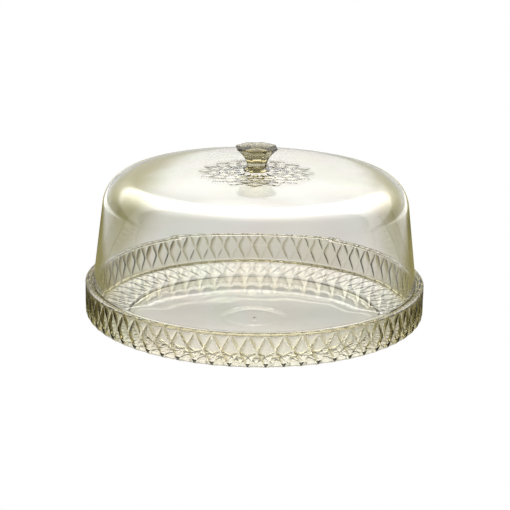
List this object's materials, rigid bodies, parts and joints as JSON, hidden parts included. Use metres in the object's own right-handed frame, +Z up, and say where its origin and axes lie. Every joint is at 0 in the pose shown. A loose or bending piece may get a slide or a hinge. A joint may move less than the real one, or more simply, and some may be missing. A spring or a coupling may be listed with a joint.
{
  "type": "cake stand with dome",
  "caption": "Round faceted clear plastic cake tray on a low foot ring, with a lift-off clear dome that has a straight drafted wall, a rounded shoulder and a flared eight-sided knob.",
  "frame": {"origin": "centre of the underside of the tray's foot ring, on the surface the stand rests on", "axes": "+Z up, along the axis of the tray, the dome and the knob; +X and +Y lie in the resting plane, each through a tip of the tray's diamonds"},
  "size_m": [0.3, 0.3, 0.1608],
  "materials": {
    "tray_plastic": "clear faceted plastic with a champagne tint, polished",
    "dome_plastic": "clear thin plastic with a faint champagne tint, polished",
    "knob_plastic": "solid clear plastic, olive where thick, polished"
  },
  "bodies": {
    "tray_base": {"tray": "tray_plastic"},
    "dome": {"dome_cover": "dome_plastic", "knob": "knob_plastic"}
  },
  "joints": [
    {"name": "dome_lift", "type": "slide", "parent": "tray_base", "child": "dome", "axis": [0, 0, 1], "range_m": [0, 0.16]}
  ]
}
